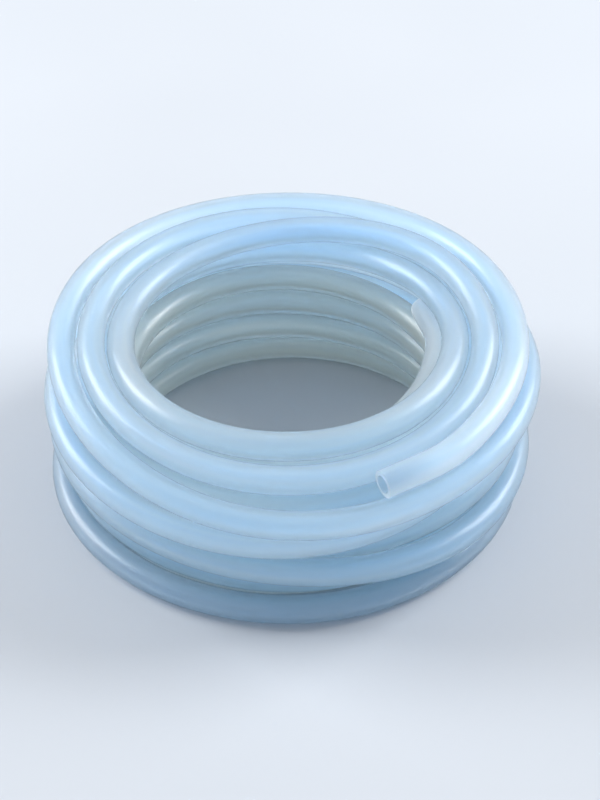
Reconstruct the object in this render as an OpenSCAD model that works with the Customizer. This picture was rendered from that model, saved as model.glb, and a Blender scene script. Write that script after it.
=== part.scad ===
// Coil of soft silicone laboratory tubing: one continuous length laid in loose turns
// around an open middle, standing on a flat surface with its axis upright.

/* [Tubing] */
// outside diameter of the tubing
tube_od = 10; // [8:0.5:12]
// bore of the tubing
tube_id = 6; // [4:0.5:7]

/* [Coil] */
// width of the open middle, inside the innermost turns of the plan
coil_hole = 112; // [100:2:130]
// room kept between turns that lie side by side
turn_gap = 0.8; // [0.7:0.1:1.2]

/* [Ends] */
// straight length at the inner end
inner_straight = 16; // [12:1:18]
// straight length at the outer end
outer_straight = 20; // [16:1:25]

/* [Hidden] */

tube_radius = tube_od / 2;
bore_radius = tube_id / 2;
plan_radius = coil_hole / 2 + tube_radius;
pitch = tube_od + turn_gap;

// how the turns are laid, from the inner end to the outer end: one row a turn, and in
// it the place of the tube at the right, front, left and back of the coil, as
// [how far out, how high] in tube diameters; the inner end springs out towards the first
// row's only place, at the back, but stops short of it
plan = [
    [[3.5, 5.0]],
    [[-1.2, 5.0], [-0.6, 4.6], [-0.1, 4.3], [0.5, 4.3]],
    [[0.1, 3.9], [0.0, 3.6], [0.3, 3.3], [0.5, 3.0]],
    [[0.2, 2.7], [0.0, 2.5], [0.4, 2.1], [0.6, 1.7]],
    [[0.5, 1.5], [0.3, 1.3], [0.4, 1.0], [0.8, 0.5]],
    [[0.9, 0.5], [0.9, 0.5], [1.4, 0.5], [2.1, 0.5]],
    [[2.2, 0.5], [2.1, 0.5], [2.4, 0.5], [1.6, 1.4]],
    [[1.5, 1.4], [1.4, 1.4], [1.9, 1.4], [2.5, 1.9]],
    [[2.3, 1.8], [1.4, 2.4], [2.4, 2.8], [2.4, 3.0]],
    [[2.2, 2.9], [0.9, 2.3], [1.4, 2.5], [1.4, 2.5]],
    [[1.1, 2.9], [1.0, 3.3], [1.4, 3.6], [1.4, 3.6]],
    [[0.9, 3.7], [1.1, 4.1], [1.5, 4.7], [1.8, 4.6]],
    [[1.0, 4.5], [0.4, 4.9], [0.5, 5.1], [0.8, 5.5]],
    [[0.4, 6.4], [0.2, 5.8], [0.0, 6.0], [0.3, 6.3]],
    [[0.8, 6.3], [1.4, 5.3], [1.0, 6.4], [1.3, 6.5]],
    [[1.3, 5.4], [2.0, 2.9], [2.4, 4.1], [2.4, 4.6]],
    [[1.9, 5.3], [2.2, 3.8], [1.9, 6.7], [2.2, 6.2]],
    [[1.7, 6.4], [2.5, 5.2]]
];
places = [for (turn = plan) for (place = turn) place];

// stations along the tube, the same number in every turn, from some steps after the first
// place to one step short of the last
turn_steps = 20;
place_steps = turn_steps / 4;
start_steps = 3;
last = (len(places) - 1) * place_steps - start_steps - 1;

// the plan at every station, as [distance from the axis, height]
function planned(i) =
    let (at = (start_steps + i) / place_steps)
    let (k = floor(at))
    let (part = at - k)
    let (place = places[k] * (1 - part) + places[k + 1] * part)
    [plan_radius + place.x * tube_od, place.y * tube_od];
laid = [for (i = [0 : last]) planned(i)];

// how far a station lies off the middle of its two neighbours
function bend(p, i) = i == 0 || i == last ? [0, 0] : (p[i - 1] + p[i + 1]) / 2 - p[i];

// one step of a springy tube easing its bends while it is held to the plan
function eased(p, stiffness, hold) =
    let (bends = [for (i = [0 : last]) bend(p, i)])
    [for (i = [0 : last]) p[i] - stiffness * bend(bends, i) + hold * (laid[i] - p[i])];

// the push on a station from one turn beside it, and from all of them
function push(a, b) =
    let (d = norm(a - b))
    d < pitch ? (a - b) / d * (pitch - d) * 0.45 : [0, 0];
function pushes(p, i) = [for (j = [i % turn_steps : turn_steps : last]) if (j != i) push(p[i], p[j])];
function total(list) = [for (x = list) 1] * list;

// one step of the turns moving out of each other and staying on the floor
function parted(p) =
    [for (i = [0 : last]) let (q = p[i] + total(pushes(p, i))) [q.x, max(q.y, tube_radius)]];

// the turns after a number of such steps
function settled(p, steps, stiffness, hold) =
    steps == 0 ? p : settled(parted(eased(p, stiffness, hold)), steps - 1, stiffness, hold);
held = settled(laid, 100, 0.25, 0.04);
loose = settled(held, 60, 0.25, 0.005);
rested = settled(loose, 20, 0, 0);

// the middle of the tube at every station, clockwise from the first place at the back
step_angle = 360 / turn_steps;
function angle(i) = 90 - step_angle * (start_steps + i);
route = [for (i = [0 : last]) [rested[i].x * cos(angle(i)), rested[i].x * sin(angle(i)), rested[i].y]];

// the two straight ends run from the last station but one towards the last
function unit(v) = v / norm(v);
inner_start = route[1];
outer_start = route[last - 1];
inner_way = unit(route[0] - inner_start);
outer_way = unit(route[last] - outer_start);

// each straight end is a round tube; the turns reach a little way into it and narrow there
seam = 1;
reach = 3;
narrow_share = 0.9;
path = concat(
    [inner_start + inner_way * reach],
    [for (i = [1 : last - 1]) route[i]],
    [outer_start + outer_way * reach]
);
rings = len(path);

// the many-sided section of the turns, its corners on the round of the tube and just
// inside the round of the bore
sides = 8;
bore_share = 0.98;
function corner(i, way, radius, k) =
    let (across = unit(cross(way, [0, 0, 1])), up = cross(across, way))
    path[i] + radius * (cos(360 * k / sides) * across + sin(360 * k / sides) * up);
function heading(i) = unit(path[min(i + 1, rings - 1)] - path[max(i - 1, 0)]);
function ring(i, radius) = [for (k = [0 : sides - 1]) corner(i, heading(i), radius, k)];
function size(i) = i == 0 || i == rings - 1 ? narrow_share : 1;
outer_corners = [for (i = [0 : rings - 1]) each ring(i, tube_radius * size(i))];
bore_corners = [for (i = [0 : rings - 1]) each ring(i, bore_radius * bore_share * size(i))];

// numbers of the corners, and the two triangles between four of them
function out(i, k) = i * sides + k % sides;
function inn(i, k) = rings * sides + out(i, k);
function pair(a, b, c, d) = [[a, b, c], [a, c, d]];
skin = [for (i = [0 : rings - 2]) for (k = [0 : sides - 1])
    each pair(out(i, k), out(i, k + 1), out(i + 1, k + 1), out(i + 1, k))];
lining = [for (i = [0 : rings - 2]) for (k = [0 : sides - 1])
    each pair(inn(i, k), inn(i + 1, k), inn(i + 1, k + 1), inn(i, k + 1))];
first_cap = [for (k = [0 : sides - 1]) each pair(out(0, k), inn(0, k), inn(0, k + 1), out(0, k + 1))];
last_cap = [for (k = [0 : sides - 1])
    each pair(out(rings - 1, k), out(rings - 1, k + 1), inn(rings - 1, k + 1), inn(rings - 1, k))];

// the middle of the coil's outline, brought to the origin
function middle(v) = (max(v) + min(v)) / 2;
centre = [middle([for (p = outer_corners) p.x]), middle([for (p = outer_corners) p.y]), 0];

// places an upright piece on the line of a straight end
module along(start, way) {
    translate(start)
        rotate([0, acos(way.z), atan2(way.y, way.x)])
            children();
}

module straight_end(start, way, length) {
    along(start, way)
        translate([0, 0, seam])
            cylinder(h = length - seam, r = tube_radius, $fn = 48);
}

module end_bore(start, way, length) {
    along(start, way)
        translate([0, 0, seam / 2])
            cylinder(h = length, r = bore_radius, $fn = 48);
}

module turns() {
    polyhedron(
        points = concat(outer_corners, bore_corners),
        faces = concat(skin, lining, first_cap, last_cap),
        convexity = 20
    );
}

module tubing() {
    color([0.66, 0.78, 0.86])
        translate(-centre)
            difference() {
                union() {
                    turns();
                    straight_end(inner_start, inner_way, inner_straight);
                    straight_end(outer_start, outer_way, outer_straight);
                }
                end_bore(inner_start, inner_way, inner_straight);
                end_bore(outer_start, outer_way, outer_straight);
            }
}

tubing();
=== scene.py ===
"""A loose coil of soft, milky silicone tubing lying on a plain floor."""

import math

import bpy
import numpy as np
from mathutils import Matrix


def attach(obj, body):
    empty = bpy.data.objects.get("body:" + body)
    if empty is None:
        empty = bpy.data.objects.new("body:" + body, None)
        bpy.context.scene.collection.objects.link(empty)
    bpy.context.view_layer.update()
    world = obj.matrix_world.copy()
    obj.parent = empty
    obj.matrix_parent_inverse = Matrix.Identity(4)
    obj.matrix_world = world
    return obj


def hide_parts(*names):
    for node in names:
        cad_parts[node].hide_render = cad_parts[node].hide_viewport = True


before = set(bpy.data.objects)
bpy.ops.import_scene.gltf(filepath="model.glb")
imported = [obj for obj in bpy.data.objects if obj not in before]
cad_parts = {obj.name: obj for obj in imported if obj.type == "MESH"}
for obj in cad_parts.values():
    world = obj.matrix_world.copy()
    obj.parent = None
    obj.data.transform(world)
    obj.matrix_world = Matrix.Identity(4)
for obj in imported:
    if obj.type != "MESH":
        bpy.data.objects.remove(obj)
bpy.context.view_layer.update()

# ---------------------------------------------------------------- camera
camera_data = bpy.data.cameras.new("camera")
camera_data.lens = 75.8
camera_data.sensor_width = 36.0
camera_data.clip_start, camera_data.clip_end = 0.01, 50.0
camera = bpy.data.objects.new("camera", camera_data)
camera.location = (0.0036, -0.4961, 0.4233)
camera.rotation_euler = (math.radians(51.54), 0.0, 0.0)
bpy.context.scene.collection.objects.link(camera)
bpy.context.scene.camera = camera
bpy.context.scene.view_settings.view_transform = "Standard"

# ---------------------------------------------------------------- the tubing's route
# The same plan and the same settling as the part, in millimetres until the mesh is made.
TUBE_OD, TUBE_ID, HOLE, GAP = 10.0, 6.0, 112.0, 0.8
INNER_STRAIGHT, OUTER_STRAIGHT = 16.0, 20.0
TURN_STEPS, PLACE_STEPS, FIRST_STEP, LAST_STEP = 20, 5, -2, 324
INNER_LEAD = [3.5, 5.0]  # the place that the inner end springs out towards, ahead of the plan
# how the part's eight-sided turns reach into its straight ends, and how far they narrow there
PART_SIDES, REACH, NARROW_SHARE = 8, 3.0, 0.9
# rounds of settling: how many steps, how springy the tube is, how firmly it is held to the plan
ROUNDS = ((100, 0.25, 0.04), (60, 0.25, 0.005), (20, 0.0, 0.0))
PUSH = 0.9  # share of an overlap between turns that one step takes away
MESH_STEP = 4.8  # length of tubing between two rings of the mesh
# Each row is a turn's [column, level] in tube diameters, at the right, front, left and back.
PLAN = [
    [[-1.2, 5.0], [-0.6, 4.6], [-0.1, 4.3], [0.5, 4.3]],
    [[0.1, 3.9], [0.0, 3.6], [0.3, 3.3], [0.5, 3.0]],
    [[0.2, 2.7], [0.0, 2.5], [0.4, 2.1], [0.6, 1.7]],
    [[0.5, 1.5], [0.3, 1.3], [0.4, 1.0], [0.8, 0.5]],
    [[0.9, 0.5], [0.9, 0.5], [1.4, 0.5], [2.1, 0.5]],
    [[2.2, 0.5], [2.1, 0.5], [2.4, 0.5], [1.6, 1.4]],
    [[1.5, 1.4], [1.4, 1.4], [1.9, 1.4], [2.5, 1.9]],
    [[2.3, 1.8], [1.4, 2.4], [2.4, 2.8], [2.4, 3.0]],
    [[2.2, 2.9], [0.9, 2.3], [1.4, 2.5], [1.4, 2.5]],
    [[1.1, 2.9], [1.0, 3.3], [1.4, 3.6], [1.4, 3.6]],
    [[0.9, 3.7], [1.1, 4.1], [1.5, 4.7], [1.8, 4.6]],
    [[1.0, 4.5], [0.4, 4.9], [0.5, 5.1], [0.8, 5.5]],
    [[0.4, 6.4], [0.2, 5.8], [0.0, 6.0], [0.3, 6.3]],
    [[0.8, 6.3], [1.4, 5.3], [1.0, 6.4], [1.3, 6.5]],
    [[1.3, 5.4], [2.0, 2.9], [2.4, 4.1], [2.4, 4.6]],
    [[1.9, 5.3], [2.2, 3.8], [1.9, 6.7], [2.2, 6.2]],
    [[1.7, 6.4], [2.5, 5.2]],
]


def planned():
    """The planned (distance from the axis, height) at each station along the tubing."""
    places = np.array([INNER_LEAD] + [place for row in PLAN for place in row])
    at = 1 + np.arange(FIRST_STEP, LAST_STEP + 1) / PLACE_STEPS
    first = np.minimum(np.floor(at + 1e-9).astype(int), len(places) - 2)
    share = (at - first)[:, None]
    mixed = places[first] * (1 - share) + places[first + 1] * share
    return np.c_[HOLE / 2 + TUBE_OD / 2 + mixed[:, 0] * TUBE_OD, mixed[:, 1] * TUBE_OD]


def bend(points):
    """How far each station lies from the middle of its neighbours."""
    away = np.zeros_like(points)
    away[1:-1] = (points[:-2] + points[2:]) / 2 - points[1:-1]
    return away


def settled():
    """The plan eased into smooth curves, with its turns pushed apart and kept on the floor."""
    plan = planned()
    points = plan.copy()
    for steps, ease, hold in ROUNDS:
        for _ in range(steps):
            eased = points - ease * bend(bend(points)) + hold * (plan - points)
            moved = np.zeros_like(eased)
            for column in range(TURN_STEPS):
                here = eased[column::TURN_STEPS]
                between = here[:, None] - here[None]
                far = np.linalg.norm(between, axis=2) + np.eye(len(here)) * 1e3
                push = np.clip(TUBE_OD + GAP - far, 0, None) / 2
                moved[column::TURN_STEPS] = (between / far[..., None] * push[..., None]).sum(1)
            points = eased + PUSH * moved
            points[:, 1] = np.maximum(points[:, 1], TUBE_OD / 2)
    return points


def unit(v):
    """Each vector at length 1."""
    return v / np.linalg.norm(v, axis=-1, keepdims=True)


def spline(points, step):
    """A smooth curve through the points, as points that lie step apart, and its length."""
    at = np.r_[0, np.cumsum(np.linalg.norm(np.diff(points, axis=0), axis=1))]
    h = np.diff(at)
    n = len(points)
    m = np.eye(n)
    rhs = np.zeros_like(points)
    for i in range(1, n - 1):
        m[i, i - 1 : i + 2] = h[i - 1], 2 * (h[i - 1] + h[i]), h[i]
        rhs[i] = 6 * ((points[i + 1] - points[i]) / h[i] - (points[i] - points[i - 1]) / h[i - 1])
    second = np.linalg.solve(m, rhs)

    def place(x):
        i = np.clip(np.searchsorted(at, x) - 1, 0, n - 2)
        a = ((at[i + 1] - x) / h[i])[:, None]
        b = 1 - a
        curved = ((a**3 - a) * second[i] + (b**3 - b) * second[i + 1]) * (h[i] ** 2)[:, None] / 6
        return a * points[i] + b * points[i + 1] + curved

    fine = place(np.linspace(0, at[-1], 12 * n))
    run = np.r_[0, np.cumsum(np.linalg.norm(np.diff(fine, axis=0), axis=1))]
    count = int(round(run[-1] / step)) + 1
    even = np.interp(np.linspace(0, run[-1], count), run, np.linspace(0, at[-1], len(fine)))
    return place(even), run[-1]


def route():
    """The middle line of the whole tubing, from the inner end's tip to the outer end's."""
    flat = settled()
    angle = np.radians(-np.arange(FIRST_STEP, LAST_STEP + 1) * 360 / TURN_STEPS)
    turns = np.c_[flat[:, 0] * np.cos(angle), flat[:, 0] * np.sin(angle), flat[:, 1]]
    inner_way, outer_way = unit(turns[0] - turns[1]), unit(turns[-1] - turns[-2])
    inner, outer = turns[1], turns[-2]
    # the part's origin is the middle of the box round its eight-sided turns
    rings = np.vstack([inner + inner_way * REACH, turns[1:-1], outer + outer_way * REACH])
    ahead = unit(np.vstack([rings[1:], rings[-1:]]) - np.vstack([rings[:1], rings[:-1]]))
    side = unit(np.cross(ahead, [0, 0, 1]))
    up = np.cross(side, ahead)
    size = np.full(len(rings), TUBE_OD / 2)
    size[[0, -1]] *= NARROW_SHARE
    corners = np.vstack(
        [
            rings + size[:, None] * (math.cos(t) * side + math.sin(t) * up)
            for t in np.arange(PART_SIDES) * 2 * math.pi / PART_SIDES
        ]
    )
    shift = (corners.max(0) + corners.min(0)) / 2 * [1, 1, 0]
    points = np.vstack(
        [
            inner + inner_way * INNER_STRAIGHT,
            inner + inner_way * INNER_STRAIGHT / 2,
            turns[1:-1],
            outer + outer_way * OUTER_STRAIGHT / 2,
            outer + outer_way * OUTER_STRAIGHT,
        ]
    )
    return points - shift


line, length = spline(route(), MESH_STEP)


# ---------------------------------------------------------------- the tubing
def tube_mesh(name, line, sides=28, edge=0.3):
    """A hollow tube along the line, whose cut faces have softly rounded corners."""
    last = len(line) - 1
    run = np.r_[0, np.cumsum(np.linalg.norm(np.diff(line, axis=0), axis=1))]
    ahead = unit(np.gradient(line, run, axis=0))
    side = unit(np.cross(ahead, [0, 0, 1]))
    up = np.cross(side, ahead)

    corner = [(edge * (1 - math.cos(t)), edge * (1 - math.sin(t))) for t in np.radians([0, 30, 60, 90])]
    outer, bore = TUBE_OD / 2, TUBE_ID / 2
    # each ring is (station, shift along the line, radius): out along the outside, back along the bore
    rings = [(0, s, outer - r) for s, r in corner]
    rings += [(i, 0, outer) for i in range(1, last)]
    rings += [(last, -s, outer - r) for s, r in corner[::-1]]
    rings += [(last, -s, bore + r) for s, r in corner]
    rings += [(i, 0, bore) for i in range(last - 1, 0, -1)]
    rings += [(0, s, bore + r) for s, r in corner[::-1]]

    station = np.array([r[0] for r in rings])
    shift = np.array([r[1] for r in rings])
    radius = np.array([r[2] for r in rings])
    turn = np.arange(sides) / sides * 2 * math.pi
    across, above = np.cos(turn)[None, :, None], np.sin(turn)[None, :, None]
    spoke = across * side[station][:, None] + above * up[station][:, None]
    centre = line[station] + ahead[station] * shift[:, None]
    verts = (centre[:, None] + radius[:, None, None] * spoke).reshape(-1, 3) / 1000

    ring = np.arange(len(rings))[:, None] * sides
    after = np.roll(ring, -1, axis=0)
    k = np.arange(sides)[None]
    j = np.roll(k, -1, axis=1)
    faces = np.stack([ring + k, after + k, after + j, ring + j], axis=-1).reshape(-1, 4)

    mesh = bpy.data.meshes.new(name)
    mesh.from_pydata(verts.tolist(), [], faces.tolist())
    mesh.shade_smooth()

    # where each point lies on the tubing: round it, at 1 on the outside and less in the bore,
    # and along it in tube diameters
    along = (run[station] + shift)[:, None]
    twisted = turn[None] + along / 400
    out = (radius / outer)[:, None]
    lay = [out * np.cos(twisted), out * np.sin(twisted), np.repeat(along / TUBE_OD, sides, axis=1)]
    kept = mesh.attributes.new("lay", "FLOAT_VECTOR", "POINT")
    kept.data.foreach_set("vector", np.stack(lay, axis=-1).ravel())
    return mesh


# ---------------------------------------------------------------- materials
def add(tree, kind, inputs=None, **settings):
    """A node with these settings. Its inputs are values, or (node, output) to link from."""
    node = tree.nodes.new(kind)
    for key, value in settings.items():
        setattr(node, key, value)
    for key, value in (inputs or {}).items():
        if isinstance(value, tuple) and isinstance(value[0], bpy.types.Node):
            tree.links.new(value[0].outputs[value[1]], node.inputs[key])
        else:
            node.inputs[key].default_value = value
    return node


def ramp(tree, source, stops):
    """A colour ramp with these (place, colour) stops."""
    node = add(tree, "ShaderNodeValToRGB", {"Fac": source})
    elements = node.color_ramp.elements
    while len(elements) < len(stops):
        elements.new(0.5)
    for element, (place, colour) in zip(elements, stops):
        element.position = place
        element.color = (*colour, 1)
    return node


def silicone():
    """Soft milky silicone: cloudy along its length, with soft drawn streaks, a satin gloss and a painted
    glow that paints light and shade along it.
    """
    material = bpy.data.materials.new("silicone")
    material.use_nodes = True
    tree = material.node_tree
    tree.nodes.clear()
    lay = add(tree, "ShaderNodeAttribute", attribute_name="lay", attribute_type="GEOMETRY")
    parts = add(tree, "ShaderNodeSeparateXYZ", {"Vector": (lay, "Vector")})

    def spread(value, low, high, at_low, at_high):
        """A value between low and high, made to run from at_low to at_high."""
        ends = {"From Min": low, "From Max": high, "To Min": at_low, "To Max": at_high}
        return add(tree, "ShaderNodeMapRange", {"Value": value, **ends})

    # 0 at the inner end of the tubing, 1 at the outer end
    share = add(tree, "ShaderNodeMath", {0: (parts, "Z"), 1: length / TUBE_OD}, operation="DIVIDE")
    # 1 on the two cut faces, which are painted a brighter white and made to glow strongly, a painted
    # highlight
    inside = add(tree, "ShaderNodeMath", {0: (parts, "Z"), 1: length / TUBE_OD / 2}, operation="PINGPONG")
    cut = spread((inside, "Value"), 0.02, 0.05, 1.0, 0.0)
    # 1 in the mouth of the bore at each end, which is painted darker, as painted shade, and gets no painted
    # glow
    flat = add(tree, "ShaderNodeVectorMath", {0: (lay, "Vector"), 1: (1.0, 1.0, 0.0)}, operation="MULTIPLY")
    off = add(tree, "ShaderNodeVectorMath", {0: (flat, "Vector")}, operation="LENGTH")
    bore = spread((off, "Value"), 0.62, 0.68, 1.0, 0.0)
    near = spread((inside, "Value"), 0.5, 2.2, 1.0, 0.0)
    mouth = add(tree, "ShaderNodeMath", {0: (bore, "Result"), 1: (near, "Result")}, operation="MULTIPLY")

    def noise(stretch, scale, detail):
        """Noise on the tubing, its pattern stretched round it and along it."""
        placed = add(tree, "ShaderNodeVectorMath", {0: (lay, "Vector"), 1: stretch}, operation="MULTIPLY")
        settings = {"Vector": (placed, "Vector"), "Scale": scale, "Detail": detail}
        return add(tree, "ShaderNodeTexNoise", settings)

    def mixed(kind, amount, one, other):
        """Two colours blended."""
        return add(
            tree, "ShaderNodeMix", {0: amount, 6: one, 7: other}, data_type="RGBA", blend_type=kind
        )

    cloud = noise((0.35, 0.35, 0.09), 1.0, 3.0)  # cloudiness, from turn to turn
    lines = noise((1.0, 1.0, 0.010), 2.2, 2.0)  # soft streaks drawn along the tubing
    grain = noise((1.0, 1.0, 1.0), 9.0, 3.0)  # faint unevenness of the skin

    # painted shade and painted reflection: the turns wound first, on the coil's inside, are painted a
    # warmer, greyer white than the bluish turns round them
    late = ramp(tree, (share, "Value"), [(0.22, (0, 0, 0)), (0.34, (1, 1, 1))])
    first = ramp(tree, (cloud, "Fac"), [(0.32, (0.78, 0.86, 0.90)), (0.68, (0.92, 0.92, 0.88))])
    outer = ramp(
        tree,
        (cloud, "Fac"),
        [(0.32, (0.68, 0.84, 1.0)), (0.50, (0.78, 0.90, 1.0)), (0.68, (0.88, 0.93, 0.98))],
    )
    body = mixed("MIX", (late, "Color"), (first, "Color"), (outer, "Color"))
    drawn = ramp(tree, (lines, "Fac"), [(0.35, (0.93, 0.95, 0.97)), (0.65, (1.0, 1.0, 1.0))])
    streaked = mixed("MULTIPLY", 1.0, (body, 2), (drawn, "Color"))
    whiter = mixed("MIX", (cut, "Result"), (streaked, 2), (0.97, 0.99, 1.0, 1.0))
    # painted shade: the mouth of the bore is painted darker
    colour = mixed("MIX", (mouth, "Value"), (whiter, 2), (0.60, 0.73, 0.84, 1.0))
    # painted glow: light that the tubing gives off of its own, standing in for light and shade; least low
    # down, as painted shade, most at the ends, as a painted highlight
    painted_glow = ramp(
        tree,
        (share, "Value"),
        [
            (0.004, (0.95, 1.10, 1.30)),
            (0.012, (0.38, 0.46, 0.45)),
            (0.20, (0.38, 0.46, 0.45)),
            (0.29, (0.12, 0.28, 0.46)),
            (0.36, (0.22, 0.42, 0.58)),
            (0.60, (0.54, 0.74, 0.86)),
            (0.78, (0.66, 0.85, 0.98)),
            (0.975, (0.66, 0.85, 0.98)),
            (0.995, (1.15, 1.33, 1.45)),
        ],
    )
    # painted highlight: the two cut faces glow strongly
    painted_cut_glow = mixed("MIX", (cut, "Result"), (painted_glow, "Color"), (4.5, 4.8, 5.0, 1.0))
    glow = mixed("MIX", (mouth, "Value"), (painted_cut_glow, 2), (0.0, 0.0, 0.0, 1.0))
    sheen = spread((lines, "Fac"), 0.3, 0.7, 0.34, 0.44)
    height = add(
        tree, "ShaderNodeMath", {0: (grain, "Fac"), 1: 0.3, 2: (lines, "Fac")}, operation="MULTIPLY_ADD"
    )
    bump = add(tree, "ShaderNodeBump", {"Height": (height, "Value"), "Strength": 0.05, "Distance": 0.0003})
    shader = add(
        tree,
        "ShaderNodeBsdfPrincipled",
        {
            "Base Color": (colour, 2),
            "Roughness": (sheen, "Result"),
            "Normal": (bump, "Normal"),
            "IOR": 1.3,
            "Transmission Weight": 0.88,
            "Subsurface Weight": 1.0,
            "Subsurface Radius": (1.0, 1.0, 1.0),
            "Subsurface Scale": 0.006,
            "Coat Weight": 0.45,
            "Coat Roughness": 0.25,
            # painted glow: the tubing gives off light of its own, a stand-in for light and shade
            "Emission Color": (glow, 2),
            "Emission Strength": 0.08,
        },
    )
    add(tree, "ShaderNodeOutputMaterial", {"Surface": (shader, "BSDF")})
    return material


def floor_material():
    """A plain pale floor, very slightly uneven in tone."""
    material = bpy.data.materials.new("floor")
    material.use_nodes = True
    tree = material.node_tree
    tree.nodes.clear()
    place = add(tree, "ShaderNodeNewGeometry")
    tone = add(tree, "ShaderNodeTexNoise", {"Vector": (place, "Position"), "Scale": 4.0, "Detail": 2.0})
    colour = ramp(tree, (tone, "Fac"), [(0.3, (0.64, 0.68, 0.73)), (0.7, (0.67, 0.71, 0.76))])
    shader = add(
        tree,
        "ShaderNodeBsdfPrincipled",
        {"Base Color": (colour, "Color"), "Roughness": 0.7, "Specular IOR Level": 0.2},
    )
    add(tree, "ShaderNodeOutputMaterial", {"Surface": (shader, "BSDF")})
    return material


def place_object(name, data):
    """A new object in the scene."""
    made = bpy.data.objects.new(name, data)
    bpy.context.scene.collection.objects.link(made)
    return made


# ---------------------------------------------------------------- the piece
tubing = place_object("silicone_tubing", tube_mesh("silicone_tubing", line))
tubing.data.materials.append(silicone())
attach(tubing, "root")
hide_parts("tubing")

# ---------------------------------------------------------------- floor and light
floor_mesh = bpy.data.meshes.new("floor")
floor_mesh.from_pydata([(-15, -15, 0), (15, -15, 0), (15, 15, 0), (-15, 15, 0)], [], [(0, 1, 2, 3)])
floor = place_object("floor", floor_mesh)
floor.location.z = -0.0001
floor.data.materials.append(floor_material())


def softbox(name, place, size, power):
    """A square area light that faces the coil."""
    data = bpy.data.lights.new(name, "AREA")
    data.shape = "SQUARE"
    data.size = size
    data.energy = power
    light = place_object(name, data)
    light.location = place
    away = np.array(place) - [0, 0, 0.03]
    tilt = math.atan2(math.hypot(away[0], away[1]), away[2])
    light.rotation_euler = (tilt, 0, math.atan2(away[0], -away[1]))


softbox("right", (1.20, 0.48, 0.88), 0.8, 18.0)
softbox("left", (-1.20, 0.40, 0.80), 0.8, 16.5)

world = bpy.data.worlds.new("world")
bpy.context.scene.world = world
world.use_nodes = True
world.node_tree.nodes.clear()
sky = add(world.node_tree, "ShaderNodeBackground", {"Color": (0.93, 0.95, 1.0, 1.0), "Strength": 0.5})
add(world.node_tree, "ShaderNodeOutputWorld", {"Surface": (sky, "Background")})
